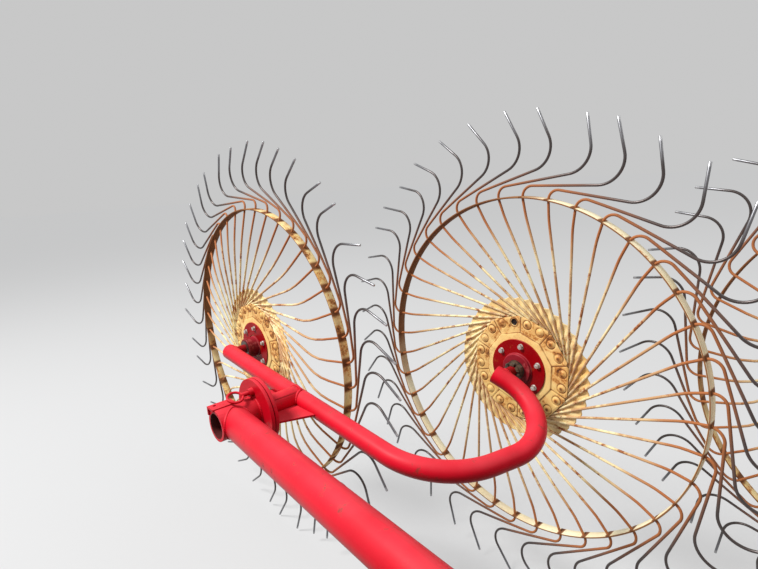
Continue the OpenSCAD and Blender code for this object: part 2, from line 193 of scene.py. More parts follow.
def clouds(tree, place, scale, detail, roughness=0.5):
    node = add_node(tree, "ShaderNodeTexNoise")
    return fill(node, Vector=place, Scale=scale, Detail=detail, Roughness=roughness)[0]


def blend_color(factor, a, b, mode="MIX"):
    node = add_node(factor.tree, "ShaderNodeMix", data_type="RGBA", blend_type=mode)
    for value, number in ((factor, 0), (a, 6), (b, 7)):
        plug(value, node.inputs[number])
    return Value(node.outputs[2])

# %% Helpers: groups
def start_group(name, inputs, outputs):
    """A new group. An input without a default is a vector, and all else is a number."""
    group = bpy.data.node_groups.new(name, "ShaderNodeTree")
    for label, default in inputs.items():
        kind = "NodeSocketVector" if default is None else "NodeSocketFloat"
        socket = group.interface.new_socket(label, in_out="INPUT", socket_type=kind)
        if default is not None:
            socket.default_value = default
    for label in outputs:
        group.interface.new_socket(label, in_out="OUTPUT", socket_type="NodeSocketFloat")
    given = {socket.name: Value(socket) for socket in group.nodes.new("NodeGroupInput").outputs}
    return group, given, group.nodes.new("NodeGroupOutput").inputs


def use_group(tree, group, **inputs):
    made = fill(add_node(tree, "ShaderNodeGroup", node_tree=group), **inputs)
    return {value.socket.name: value for value in made}

# %% [markdown]
# ## Studio
# Outdoors the sky is one huge soft lamp and the sun adds a hard edge. Here a plain world and
# two area lamps do the same, the smaller one for crisp shading on the bosses and the wires. The
# floor goes so far that its edge is never seen. To the camera it glows a little, so that it
# stays even and pale; to the object it is darker, and throws less light up at the undersides
# of the tubes. The Standard view shows colours as they are written.

# %% Floor
def new_mesh(name, verts, faces):
    mesh = bpy.data.meshes.new(name)
    mesh.from_pydata([tuple(v) for v in verts], [], faces)
    mesh.update()
    piece = bpy.data.objects.new(name, mesh)
    scene.collection.objects.link(piece)
    return piece


scene.view_settings.view_transform = "Standard"
far = 60
floor = new_mesh("floor", [(-far, -far, 0), (far, -far, 0), (far, far, 0), (-far, far, 0)], [(0, 1, 2, 3)])
SKY, SKY_LEVEL = (0.95, 0.97, 1.0), 0.42
FLOOR_SEEN, FLOOR_GLOW, FLOOR_FELT = 0.23, 0.48, 0.26

# %% Helpers: what the camera sees and what the object gets
def for_camera(tree, seen, felt, output):
    """Camera, glossy and see-through rays meet one shader; light that bounces meets another."""
    kinds = "Camera", "Glossy", "Transmission"
    rays = [source(tree, "ShaderNodeLightPath", f"Is {kind} Ray") for kind in kinds]
    either = fill(add_node(tree, "ShaderNodeMixShader"), rays[0].most(*rays[1:]), felt, seen)[0]
    plug(either, tree.nodes[output].inputs["Surface"])


def flat_shader(tree, kind, level, color=(1, 1, 1)):
    return fill(add_node(tree, kind), Color=(*(level * c for c in color), 1))[0]

# %% Finish of the floor, and the sky
DIFFUSE, BACKGROUND = "ShaderNodeBsdfDiffuse", "ShaderNodeBackground"
pale = bpy.data.materials.new("floor_pale")
pale.use_nodes = True
tree = pale.node_tree
parts = flat_shader(tree, DIFFUSE, FLOOR_SEEN), flat_shader(tree, "ShaderNodeEmission", FLOOR_GLOW)
seen = fill(add_node(tree, "ShaderNodeAddShader"), *parts)[0]
for_camera(tree, seen, flat_shader(tree, DIFFUSE, FLOOR_FELT), "Material Output")
floor.data.materials.append(pale)

world = bpy.data.worlds.new("studio")
world.use_nodes = True
tree = world.node_tree
# The camera sees the sky in the colour of the far floor, so no horizon line is drawn.
seen = flat_shader(tree, BACKGROUND, FLOOR_SEEN * SKY_LEVEL + FLOOR_GLOW)
for_camera(tree, seen, flat_shader(tree, BACKGROUND, SKY_LEVEL, SKY), "World Output")
scene.world = world

# %% Lamps
def area_lamp(name, place, target, size, power):
    lamp = bpy.data.objects.new(name, bpy.data.lights.new(name, "AREA"))
    lamp.data.shape, lamp.data.size, lamp.data.energy = "DISK", size, power
    lamp.location = place
    lamp.rotation_euler = (Vector(target) - Vector(place)).to_track_quat("-Z", "Y").to_euler()
    scene.collection.objects.link(lamp)


area_lamp("sun_key", (-3.0, -3.6, 6.0), (0, 0, 0.5), 1.8, 620)
area_lamp("sky_fill", (4.5, 3.0, 6.0), (0, 0.4, 0.5), 6.0, 160)
print("lamps:", [lamp.name for lamp in bpy.data.lights])

# %% [markdown]
# ## Rust patches
# Rust starts at a scratch and eats outwards, so its patches have ragged borders, and a paler
# orange stain around a darker middle. Two layers of noise do this: a coarse one decides where,
# a fine one frays the border. The Amount input moves the threshold, so each finish can choose.

# %% Group: rust patches
rust_patches, given, made = start_group(
    "rust_patches", {"Position": None, "Scale": 20.0, "Amount": 0.5}, ["Stain", "Core", "Grain"])
coarse = clouds(rust_patches, given["Position"], given["Scale"], 5.0, 0.62)
fine = clouds(rust_patches, given["Position"], given["Scale"] * 7.0, 4.0, 0.7)
frayed = fine * 0.35 + coarse
threshold = given["Amount"] * -0.5 + 0.93
plug(frayed.spread(threshold - 0.08, threshold + 0.07), made["Stain"])
plug(frayed.spread(threshold, threshold + 0.16), made["Core"])
plug(fine, made["Grain"])
print("rust_patches has", len(rust_patches.nodes), "nodes")

# %% [markdown]
# ## Worn edges
# Paint wears off corners first. Blender's Bevel node bends the normal near an edge, and where
# the bent normal leaves the true one, there is an edge. Noise breaks the line up.

# %% Group: edge wear
edge_wear, given, made = start_group(
    "edge_wear", {"Position": None, "Width": 0.002, "Amount": 0.5}, ["Edge"])
bent = fill(add_node(edge_wear, "ShaderNodeBevel", samples=4), Radius=given["Width"])[0]
true = source(edge_wear, "ShaderNodeNewGeometry", "Normal")
agreement = fill(add_node(edge_wear, "ShaderNodeVectorMath", operation="DOT_PRODUCT"), bent, true)[1]
breakup = clouds(edge_wear, given["Position"], 90.0, 3.0, 0.6)
lifted = (1.0 - agreement) * (breakup * 9.0)
plug(lifted.spread(0.15, 0.9) * given["Amount"], made["Edge"])
print("edge_wear has", len(edge_wear.nodes), "nodes")

# %% [markdown]
# ## Dust, painted sheen and painted shade
# Dust settles where a surface faces up, thin and uneven, so the group multiplies the upward
# part of the normal by noise; on the red paint this pale pink layer is also a painted sheen.
# A second mask marks the undersides, which the red paint darkens as painted shade.

# %% Group: dust, painted sheen and painted shade
dust_sheen_and_shade, given, made = start_group("dust_sheen_and_shade", {"Position": None, "Amount": 0.3}, ["Dust", "Shaded_under"])
up = facing_up(dust_sheen_and_shade)
patches = clouds(dust_sheen_and_shade, given["Position"], 14.0, 6.0).spread(0.25, 0.8, 0.6, 1.0)
plug(up.spread(0.1, 1.0) * patches * given["Amount"], made["Dust"])
# Undersides, where the red paint is darkened as painted shade.
plug(up.spread(0.30, -0.45), made["Shaded_under"])
print("dust has", len(dust_sheen_and_shade.nodes), "nodes")

# %% [markdown]
# ## Fresh red paint
# The frame was brushed over with bright red gloss. It has the slight ripple of brushed paint,
# a few thin places where dark old steel shows, and a faded, dusty bloom on top, which is also a
# painted pink sheen. The undersides are darkened with painted shade.

# %% Recipe: red paint
# Faded, dusty pink that is also a painted sheen on top, and the painted shade of the undersides.
SHEEN_AND_FADE, UNDERSIDE_SHADE = (0.90, 0.19, 0.22, 1), (0.50, 0.15, 0.25, 1)


def start_material(name):
    material = bpy.data.materials.new(name)
    material.use_nodes = True
    tree = material.node_tree
    return material, tree, tree.nodes["Principled BSDF"].inputs, object_place(tree)


def ripple(look, height, strength, distance):
    bump = add_node(height.tree, "ShaderNodeBump")
    plug(fill(bump, Strength=strength, Distance=distance, Height=height)[0], look["Normal"])


def red_paint(name, base, shade, chips, dust_and_sheen_amount, mouth=None, under=(0.16, 0.035, 0.02, 1)):
    """A red finish; inside the sleeve whose open mouth is given, the bore is painted near black as shade."""
    material, tree, look, place = start_material(name)
    cloud = clouds(tree, place, 6.0, 5.0)
    color = blend_color(cloud.spread(0.35, 0.7), base, shade)
    worn = use_group(tree, edge_wear, Position=place, Width=0.0022, Amount=chips)["Edge"]
    rust = use_group(tree, rust_patches, Position=place, Scale=32.0, Amount=0.20 + 0.3 * chips)
    bare = (rust["Core"] * 0.8).most(worn)
    color = blend_color(bare, color, under)
    dust_and_painted_light = use_group(tree, dust_sheen_and_shade, Position=place, Amount=dust_and_sheen_amount)
    # Painted shade: the undersides are multiplied towards a deep dark red.
    color = blend_color(dust_and_painted_light["Shaded_under"], color, UNDERSIDE_SHADE, "MULTIPLY")
    # Dust and faded paint on top, which is also a painted pink sheen.
    color = blend_color(dust_and_painted_light["Dust"], color, SHEEN_AND_FADE)
    # Painted shade: the bore behind the sleeve's open mouth is coloured near black.
    if mouth:
        x, y, z = split(tree, place)
        inside = (x - mouth.x).hypot(z - mouth.z).spread(SLEEVE_D / 2 - 6 * MM, SLEEVE_D / 2 - 9 * MM)
        ahead = y.spread(mouth.y + 40 * MM, mouth.y + 30 * MM)
        color = blend_color(inside * ahead, color, (0.035, 0.012, 0.010, 1))
    plug(color, look["Base Color"])
    rough = cloud * 0.16 + 0.30 + dust_and_painted_light["Dust"] * 0.6
    plug(rough.most(bare * 0.75), look["Roughness"])
    brushed = clouds(tree, place, 150.0, 2.0)
    ripple(look, brushed * 0.5 + bare * -1.0, 0.25, 0.0012)
    look["Specular IOR Level"].default_value = 0.10
    return material

# %% Materials: red paint
RED_BASE, RED_SHADE = (0.68, 0.004, 0.020, 1), (0.56, 0.003, 0.014, 1)
RED = red_paint("red_paint", RED_BASE, RED_SHADE, 0.35, 0.19)
tube_drift = 2 * PITCH_X * tan(TUBE_SKEW)
MOUTHS = [Vector((pivots[0].x, hubs[0].y - MOUTH_GAP, pivots[0].z)),
          Vector((pivots[1].x, hubs[0].y - TUBE_GAP - tube_drift - MOUTH_LIP, pivots[1].z))]
# The sleeves' bores are painted near black as shade.
RED_SHADED_BORES = [red_paint(f"red_paint_shaded_bore_{letter}", RED_BASE, RED_SHADE, 0.35, 0.19, mouth)
             for letter, mouth in zip(SIDES, MOUTHS)]
# A darker copy of the red paint: painted shade on the hub flanges and the spindles.
RED_PAINTED_SHADE = red_paint("red_paint_hub_shaded", (0.38, 0.001, 0.005, 1), (0.22, 0.001, 0.003, 1), 0.40, 0.03,
                     under=(0.46, 0.13, 0.025, 1))
RED_GREASY = red_paint("red_paint_barrel", (0.40, 0.020, 0.036, 1), (0.17, 0.014, 0.016, 1), 0.7, 0.0,
                       under=(0.50, 0.11, 0.10, 1))
print("red paints:", 3 + len(RED_SHADED_BORES))

# %% [markdown]
# ## Old cream paint
# The wheels still wear their first cream paint. Rain has drawn orange rust out of every crease,
# and the thinnest edges are bare brown. One recipe serves the plates and the hoops; only the
# amounts differ. A mask from the piece's own map adds rust where water stands, and on the plates
# painted shade in the creases and round the bosses: it returns where the paint is stained, where
# it is eaten to brown, where it stays calm, and where there is a pit, which is painted black as shade.

# %% Recipe: cream paint
CREAM = (0.95, 0.69, 0.28, 1)
ORANGE = (0.58, 0.19, 0.022, 1)
BROWN = (0.12, 0.035, 0.014, 1)
GRIME = (0.40, 0.22, 0.07, 1)
# The pit is an open hole; its black is painted shade.
PIT_SHADE = (0.018, 0.010, 0.008, 1)


def cream_paint(name, amount, edge, mask=None, base=CREAM, faded=(0.88, 0.56, 0.17, 1)):
    material, tree, look, place = start_material(name)
    rust = use_group(tree, rust_patches, Position=place, Scale=26.0, Amount=amount)
    worn = use_group(tree, edge_wear, Position=place, Width=0.0025, Amount=edge)["Edge"]
    color = blend_color(clouds(tree, place, 9.0, 4.0).spread(0.35, 0.8), base, faded)
    stain, core, pit = rust["Stain"], rust["Core"].most(worn), None
    if mask:
        # On the plates the mask also brings painted shade in the creases and round the bosses.
        wet, deep, calm, pit = mask(tree)
        if calm:
            stain, core = stain * calm, core * calm
        stain, core = stain.most(wet), core.most(deep)
    color = blend_color(stain * 0.85, color, ORANGE)
    color = blend_color(core, color, BROWN)
    color = blend_color(rust["Grain"] * 0.16, color, GRIME)
    # Painted shade: the open pit is coloured black.
    if pit:
        color = blend_color(pit, color, PIT_SHADE)
    plug(color, look["Base Color"])
    plug(core.spread(0.0, 1.0, 0.5, 0.88), look["Roughness"])
    ripple(look, rust["Grain"] * 0.6 + core * -0.5, 0.35, 0.0010)
    look["Specular IOR Level"].default_value = 0.25
    return material

# %% Masks: where plates and hoops rust, with painted shade in the plates' creases
def panel_mask(tree):
    """Rings round the bosses and marks in the creases, part rust and part painted shade. The map
    holds the panel's number and the radius in decimetres, and 10 more than that inside the pit,
    which is painted black as shade."""
    u, v = piece_map(tree, "panels")
    broken = clouds(tree, object_place(tree), 24.0, 3.0).spread(0.36, 0.56)
    turn = calc("FRACT", u) - 0.5
    flat = v * calc("COSINE", turn * (2 * pi / PANELS))
    out_here = flat.spread(0.99, 1.01)
    # Crease and ridge marks: rust and painted shade.
    crease = ((0.5 - abs(turn)) * v).spread(0.034, 0.012) * out_here
    ridge = abs(flat - 1.022).spread(0.020, 0.006)
    lines = crease.most(ridge * 0.8) * broken.spread(0.0, 1.0, 0.4, 1.0)
    boss_turn = 2 * pi / BOSSES
    across = (calc("FRACT", u * (BOSSES / PANELS)) - 0.5) * boss_turn * v
    away = across.hypot(v - 10 * BOSS_RING)
    luck = add_node(tree, "ShaderNodeTexWhiteNoise", noise_dimensions="1D")
    chance = fill(luck, W=calc("FLOOR", u * (BOSSES / PANELS)))[0]
    # Broken rings round the bosses: rust and painted shade.
    ring = abs(away - 0.128).spread(0.022, 0.006) * broken.spread(0.0, 1.0, 0.35, 1.0)
    top = away.spread(0.105, 0.04) * chance.spread(0.30, 0.70)
    wet = ring.most(top, lines, out_here * broken * 0.42)
    eaten = away.spread(0.060, 0.020) * chance.spread(0.38, 0.52)
    deep = lines.most(ring * chance.spread(0.0, 0.8, 0.60, 1.0), eaten) * 0.9
    return wet, deep, flat.spread(0.985, 1.0, 0.25, 1.0), v.spread(4.0, 8.0)


def hoop_mask(notch, thinned):
    """Dark notches at the wires, bare brown edges, thin paint inside, and darker brown towards the top
    and the -x side of the hoop. The map counts the wires, and says which face a point is on."""
    def mask(tree):
        u, v = piece_map(tree, "band")
        place = object_place(tree)
        thin = clouds(tree, place, 7.0, 4.0)
        x, _, z = split(tree, place)
        # Darker brown towards the top and the -x side of the hoop.
        darker_up_and_minus_x = (thin * 0.24 + (z * 0.66 + x * -0.75)).spread(0.30, 0.52)
        inner = v.spread(1.065, 1.09) * thin.spread(0.42, 0.62) * thinned
        rim = v.spread(0.98, 1.02) * v.spread(1.085, 1.065)
        spot = abs(calc("FRACT", u + 0.5) - 0.5).spread(notch, 0.4 * notch)
        side = abs(v - 0.5).spread(0.40, 0.49, 0.0, 0.7) * v.spread(1.02, 1.0)
        wet = inner.most(rim, spot, side, darker_up_and_minus_x * 0.9)
        return wet, (inner * 0.55).most(spot * 0.92, rim * 0.7, darker_up_and_minus_x * 0.88), None, None
    return mask

# %% Materials: cream paint
PLATE = cream_paint("cream_plate", 0.42, 0.45, panel_mask)
BACK = cream_paint("cream_back_plate", 0.24, 0.3, base=(0.90, 0.72, 0.36, 1))
HOOP = cream_paint("cream_hoop", 0.14, 0.3, hoop_mask(0.13, 0.2),
                   base=(0.95, 0.87, 0.60, 1), faded=(0.90, 0.76, 0.44, 1))
HOOP_RUSTY = cream_paint("cream_hoop_rusty", 0.42, 0.4, hoop_mask(0.25, 0.5),
                         base=(0.92, 0.76, 0.38, 1), faded=(0.82, 0.52, 0.15, 1))
print("cream plate has", len(PLATE.node_tree.nodes), "nodes")

# %% [markdown]
# ## Spring wire
# One wire shows its whole history along its length: cream paint with rust flakes between plate
# and hoop, red-brown rust outside the hoop, dark polished steel on the run that sweeps the hay,
# and a bright tip scoured by the ground. Its undersides are browner, partly rust and partly
# painted shade. The wire's map stores the distances from its root and from its tip in metres, so
# plain thresholds place each zone, and noise makes the borders ragged.

# %% Material: spring wire
def spring_wire(name):
    material, tree, look, place = start_material(name)
    from_root, from_tip = piece_map(tree, "wire")
    stray = clouds(tree, place, 16.0, 4.0) * 0.12 + -0.06
    length, to_tip = from_root + stray, from_tip + stray
    rust = use_group(tree, rust_patches, Position=place, Scale=5.0, Amount=0.50)
    specks = use_group(tree, rust_patches, Position=place, Scale=30.0, Amount=0.36)
    # Browner undersides: partly rust, partly painted shade.
    under = facing_up(tree).spread(0.1, -0.8) * 0.5
    near_hoop = length.spread(HOOP_AT - 0.22, HOOP_AT - 0.04)
    flakes_and_shade = (rust["Stain"] * 0.75).most(specks["Stain"], under, near_hoop)
    shiny, swept = from_tip.spread(0.013, 0.005), to_tip.spread(0.30, 0.14)
    color = blend_color(flakes_and_shade, (0.95, 0.82, 0.45, 1), (0.40, 0.13, 0.034, 1))
    for mask, over in (
            (specks["Core"] * 0.5, (0.14, 0.045, 0.022, 1)),
            (length.spread(HOOP_AT, HOOP_AT + 0.12), (0.27, 0.095, 0.035, 1)),
            (to_tip.spread(0.34, 0.16), (0.080, 0.066, 0.062, 1)),
            (to_tip.spread(0.10, 0.02), (0.20, 0.20, 0.21, 1)),
            (shiny, (0.40, 0.40, 0.41, 1))):
        color = blend_color(mask, color, over)
    plug(color, look["Base Color"])
    plug(shiny.most(swept) * 0.7, look["Metallic"])
    plug(swept.spread(0.0, 1.0, 0.78, 0.36), look["Roughness"])
    ripple(look, rust["Grain"], 0.4, 0.0006)
    return material


WIRE = spring_wire("spring_wire")
print("spring wire has", len(WIRE.node_tree.nodes), "nodes")

# %% [markdown]
# ## Steel, zinc and grease
# Bolts are zinc plated, pins are plain steel with a brown film, and old grease sits black and
# wet round each spindle.

# %% Materials: small metal parts
def metal(name, base, film, metallic, rough, amount, scale=60.0):
    material, tree, look, place = start_material(name)
    rust = use_group(tree, rust_patches, Position=place, Scale=scale, Amount=amount)
    plug(blend_color(rust["Stain"] * 0.8, base, film), look["Base Color"])
    plug(rust["Stain"].spread(0.0, 1.0, metallic, metallic * 0.3), look["Metallic"])
    plug(rust["Grain"].spread(0.3, 0.7, rough * 0.8, rough * 1.25), look["Roughness"])
    ripple(look, rust["Grain"], 0.3, 0.0005)
    return material


ZINC = metal("zinc_bolt", (0.54, 0.52, 0.48, 1), (0.30, 0.17, 0.09, 1), 0.45, 0.42, 0.36, 90.0)
STEEL = metal("pin_steel", (0.42, 0.40, 0.38, 1), (0.19, 0.09, 0.05, 1), 0.85, 0.42, 0.5)
NUT_BROWN = metal("greasy_nut", (0.050, 0.038, 0.030, 1), (0.16, 0.11, 0.07, 1), 0.3, 0.40, 0.5, 50.0)
GREASE = metal("old_grease", (0.030, 0.018, 0.014, 1), (0.11, 0.03, 0.02, 1), 0.0, 0.28, 0.45, 70.0)
print("materials:", len(bpy.data.materials))

# %% [markdown]
# ## Sweeping a round bar
# Wires, pipes and weld beads are all one idea: a circle carried along a line. Curves with a
# bevel would also do, but here the mesh is made directly, so that it can hold a map of the
# distance along the bar. Bends are true arcs, as a pipe bender makes them.

# %% Helpers: points, quads and bent lines
def around(angle, radius, axle):
    """A point near an axle that runs along y; the angle starts at the top."""
    return Vector((radius * sin(angle), axle, radius * cos(angle)))


def grid_faces(rows, columns, close_rows=False, close_columns=True):
    """Quads over a grid of vertices, which may close on itself either way."""
    faces = []
    for k in range(rows if close_rows else rows - 1):
        for j in range(columns if close_columns else columns - 1):
            a, b = k * columns + j, k * columns + (j + 1) % columns
            ahead = ((k + 1) % rows - k) * columns
            faces.append((a, b, b + ahead, a + ahead))
    return faces


def bent_line(points, bends, step=radians(7)):
    """A line through the points with a round arc of the given radius at each inner point."""
    points = [Vector(p) for p in points]
    line = [points[0]]
    for a, b, c, radius in zip(points, points[1:], points[2:], bends):
        into, out = (b - a).normalized(), (c - b).normalized()
        turn = into.angle(out)
        start = b - into * radius * tan(turn / 2)
        inward = (out - into * out.dot(into)).normalized()
        count = max(2, int(turn / step))
        for k in range(count + 1):
            angle = turn * k / count
            line.append(start + into * radius * sin(angle) + inward * radius * (1 - cos(angle)))
    return line + [points[-1]]


def line_length(line):
    return sum((q - p).length for p, q in zip(line, line[1:]))

# %% Helper: swept bars
def swept_bar(line, radius, sides, closed=False, round_ends=True):
    """Vertices, faces and per-vertex length of a bar. The radius is a number or a function of length."""
    size = radius if callable(radius) else (lambda s: radius)
    count = len(line)
    lengths = [0.0]
    for p, q in zip(line, line[1:]):
        lengths.append(lengths[-1] + (q - p).length)
    tangents = []
    for k in range(count):
        before = line[k - 1] if k or closed else line[0]
        after = line[(k + 1) % count] if k < count - 1 or closed else line[-1]
        tangents.append((after - before).normalized())
    side = tangents[0].orthogonal().normalized()
    rings = []
    for k in range(count):
        side = (side - tangents[k] * side.dot(tangents[k])).normalized()
        rings.append((line[k], tangents[k], side.copy(), size(lengths[k]), lengths[k]))
    if not closed and round_ends:
        for first, sign in ((True, -1), (False, 1)):
            p, t, s, r, length = rings[0] if first else rings[-1]
            caps = [(p + t * sign * r * 0.35 * sin(a), t, s, max(r * cos(a), r * 0.02), length)
                    for a in (0.5, 1.0, 1.45)]
            rings = caps[::-1] + rings if first else rings + caps
    verts, along = [], []
    for p, t, s, r, length in rings:
        other = t.cross(s)
        for k in range(sides):
            angle = 2 * pi * k / sides
            verts.append(p + s * r * cos(angle) + other * r * sin(angle))
            along.append(length)
    faces = grid_faces(len(rings), sides, close_rows=closed)
    if not closed:
        faces.append(tuple(range(sides))[::-1])
        faces.append(tuple((len(rings) - 1) * sides + j for j in range(sides)))
    return verts, faces, along

# %% Helpers: one object from several parts
def make_piece(name, parts, material, map_name=None):
    """One smooth object from several (vertices, faces, map values) parts."""
    verts, faces, values = [], [], []
    for part in parts:
        shift = len(verts)
        verts += part[0]
        faces += [tuple(i + shift for i in face) for face in part[1]]
        if map_name:
            values += part[2]
    piece = new_mesh(name, verts, faces)
    piece.data.materials.append(material)
    piece.data.shade_smooth()
    if map_name:
        layer = piece.data.uv_layers.new(name=map_name)
        for loop in piece.data.loops:
            layer.data[loop.index].uv = values[loop.vertex_index]
    return piece


def sharpen(piece, degrees):
    """Keeps edges sharper than the given angle crisp in a smooth shaded mesh."""
    piece.data.set_sharp_from_angle(angle=radians(degrees))
    return piece

# %% [markdown]
# ## The wires of one wheel
# Each wire leaves the hub plates on a slant, crosses the hoop, kneels just outside it, runs
# sideways behind its neighbours and turns out again to a blunt tip. The path is the solid's own.
# Use has bent the free ends about, as in the solid, and each wire adds a little of its own, but
# never reaches further out than the solid's tips. The first wheel is turned over and sweeps the
# other way. The hubs of the first and third stand in front of their hoops, which their spokes
# reach with a bend.

# %% The line of a wire
TIP_OUT = 245 * MM
TINE_PATH = [
    (82 * MM, 124 * MM, 0), NEW_BEND, (RIM_R + 30 * MM, -2 * MM, -WIRE_D),
    (RIM_R + 31 * MM, 277 * MM, -3 * MM), (sqrt(TIP_R ** 2 - TIP_OUT ** 2), TIP_OUT, 5 * MM),
]
TINE_BENDS = [200 * MM, 28 * MM, 0.39 * (TINE_PATH[4][0] - TINE_PATH[3][0])]


def one_wire(number, angle, i, dice):
    """The line of a wire of wheel i: x across, y along the axle, z up, turned by an angle."""
    hand = HANDS[i - 1]
    path = [list(p) for p in TINE_PATH]
    outwards, sideways = TIP_STRAY[number % len(TIP_STRAY)]
    path[3][1] += dice.uniform(-4, 4) * MM
    path[4][1] += (sideways + dice.uniform(-4, 3)) * MM
    path[4][2] += dice.uniform(-7, 7) * MM
    path[4][0] = min(path[4][0] + (outwards - dice.uniform(0, 3)) * MM,
                     sqrt((TIP_R - 2.5 * MM) ** 2 - path[4][1] ** 2))
    bends = [TINE_BENDS[0], TINE_BENDS[1] * dice.uniform(0.9, 1.1), TINE_BENDS[2] * dice.uniform(0.9, 1.05)]
    path = [(radius, side, hand * axle) for radius, side, axle in path]
    path[0], path[1] = (*path[0][:2], DISHES[i - 1]), SPOKE_BENDS[i - 1]
    line = bent_line([(hand * side, axle, radius) for radius, side, axle in path], bends)
    return [Matrix.Rotation(angle, 3, "Y") @ p for p in line]

# %% Wires
def on_wheel(piece, hub, i, *nodes):
    piece.location = hub
    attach(piece, f"wheel_{i}")
    if nodes:
        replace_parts(piece, *nodes)


def on_hub(piece, hub, i, *nodes):
    """Like on_wheel, for a piece that stands where the wheel's dish puts its hub."""
    on_wheel(piece, hub + Vector((0, DISHES[i - 1], 0)), i, *nodes)


for i, hub in enumerate(hubs, start=1):
    dice = random.Random(40 + i)
    parts = []
    for k in range(TINES):
        line = one_wire(k, radians(PHASES[i - 1] + k * 360 / TINES), i, dice)
        wire_length = line_length(line)
        verts, faces, along = swept_bar(line, WIRE_D / 2, 10)
        parts.append((verts, faces, [(s, wire_length - s) for s in along]))
    wires = make_piece(f"wires_{i}", parts, WIRE, "wire")
    on_wheel(wires, hub, i, f"wheel_{i}")
print(f"each wire is {wire_length:.3f} m long and crosses the hoop at about {HOOP_AT:.3f} m")

# %% [markdown]
# ## The hoop
# A flat steel band is rolled to a hoop, and the wires pass through holes in it. Its section is
# a thin rounded rectangle, so it is turned about the axle like a ring. The map counts wires
# along it and says which side of the band a point is on, which the rust needs.

# %% Hoop
def turned_ring(profile, steps, sides=None, first_angle=0.0):
    """Turns a closed profile of (radius, axle) points about the axle. With a number for each
    point, a map holds that beside the count of wires."""
    verts, mapped = [], []
    for k in range(steps + 1):
        for j, (radius, axle) in enumerate(profile):
            verts.append(around(2 * pi * k / steps + first_angle, radius, axle))
            if sides:
                mapped.append((k / steps * TINES, sides[j]))
    return verts, grid_faces(steps + 1, len(profile)), mapped


half, deep, lip = RIM_W / 2, RIM_T / 2, 1.2 * MM
HOOP_PROFILE = [
    (RIM_R + deep, -half + lip), (RIM_R + deep, half - lip),
    (RIM_R + deep - lip, half), (RIM_R - deep + lip, half),
    (RIM_R - deep, half - lip), (RIM_R - deep, -half + lip),
    (RIM_R - deep + lip, -half), (RIM_R + deep - lip, -half)]
HOOP_SIDES = [0.05, 0.95, 1.03, 1.06, 1.1, 1.1, 1.06, 1.03]

for i, hub in enumerate(hubs, start=1):
    ring = turned_ring(HOOP_PROFILE, 240, HOOP_SIDES, radians(PHASES[i - 1]))
    finish = HOOP if i % 2 == 0 else HOOP_RUSTY
    hoop = make_piece(f"hoop_{i}", [ring], finish, "band")
    on_wheel(sharpen(hoop, 50), hub, i, f"wheel_{i}")
print("hoops:", len(hubs))

# %% [markdown]
# ## Pressed plates
# The front plate is one stamping: ten flat panels round a raised ten-sided ring, with a groove
# between neighbours and two round bosses in each panel. A stamping is a height over a flat
# disc, so the mesh is a fine polar grid, and one function says how high each point stands.

# %% Sizes of the stamping and the height of its points
PLATE_R, RIDGE_R, PLATE_BORE = 156 * MM, 106 * MM, 36 * MM
BOSS_R, PIT_R = 12 * MM, 9.5 * MM
PLATE_FRONT = -(WIRE_D / 2 + 0.5 * MM)
HALF_PANEL = pi / PANELS


def soft_step(x, low, high):
    t = min(1.0, max(0.0, (x - low) / (high - low)))
    return t * t * (3 - 2 * t)


def from_panel_middle(angle):
    return angle % (2 * HALF_PANEL) - HALF_PANEL


def panel_edge(angle, radius):
    """Distance from the middle to the edge of a ten-sided outline with the given corner radius."""
    return radius * cos(HALF_PANEL) / cos(from_panel_middle(angle))


def plate_height(angle, radius, pit):
    """How far the stamping stands in front of its back face, in metres."""
    to_edge = panel_edge(angle, PLATE_R) - radius
    ring = panel_edge(angle, RIDGE_R) - radius
    height = 3.0 * MM + 2.8 * MM * soft_step(ring, -4 * MM, 2 * MM)
    seam = (HALF_PANEL - abs(from_panel_middle(angle))) * radius
    height -= 1.5 * MM * (1 - soft_step(seam, 0.8 * MM, 3.2 * MM)) * soft_step(-ring, 0, 4 * MM)
    height -= 1.6 * MM * (1 - soft_step(to_edge, 0, 5 * MM))
    spacing = 2 * pi / BOSSES
    number = int(angle / spacing) % BOSSES
    sideways = (angle - (number + 0.5) * spacing) * radius
    away = hypot(sideways, radius - BOSS_RING)
    if number == pit:
        height -= 4.5 * MM * (1 - soft_step(away, PIT_R - 1.5 * MM, PIT_R))
    else:
        height += 4.2 * MM * (1 - soft_step(away, 3.0 * MM, BOSS_R))
        height -= 1.6 * MM * (1 - soft_step(abs(away - BOSS_R - 1 * MM), 0.3 * MM, 2.2 * MM))
    return height

# %% Front plates
def front_plate(pit, twist, steps=480):
    rows = [0.0, 0.25, 0.45, 0.56] + [0.56 + 0.44 * k / 40 for k in range(1, 41)]
    verts, mapped = [], []
    for k in range(steps + 1):
        angle = 2 * pi * k / steps
        within = angle % (2 * pi)
        edge = panel_edge(within, PLATE_R)
        seam = abs(from_panel_middle(angle))
        edge -= 5 * MM * soft_step(seam, HALF_PANEL - 0.05, HALF_PANEL - 0.015)
        for t in rows:
            radius = PLATE_BORE + (edge - PLATE_BORE) * t
            verts.append(around(angle + twist, radius, PLATE_FRONT - plate_height(within, radius, pit)))
            across = (angle - (pit + 0.5) * 2 * pi / BOSSES) * radius
            in_pit = hypot(across, radius - BOSS_RING) < PIT_R
            mapped.append((angle / (2 * HALF_PANEL), radius * 10 + (10 if in_pit else 0)))
        verts.append(around(angle + twist, edge, PLATE_FRONT))
        mapped.append((angle / (2 * HALF_PANEL), edge * 10))
    return verts, grid_faces(steps + 1, len(rows) + 1, close_columns=False), mapped


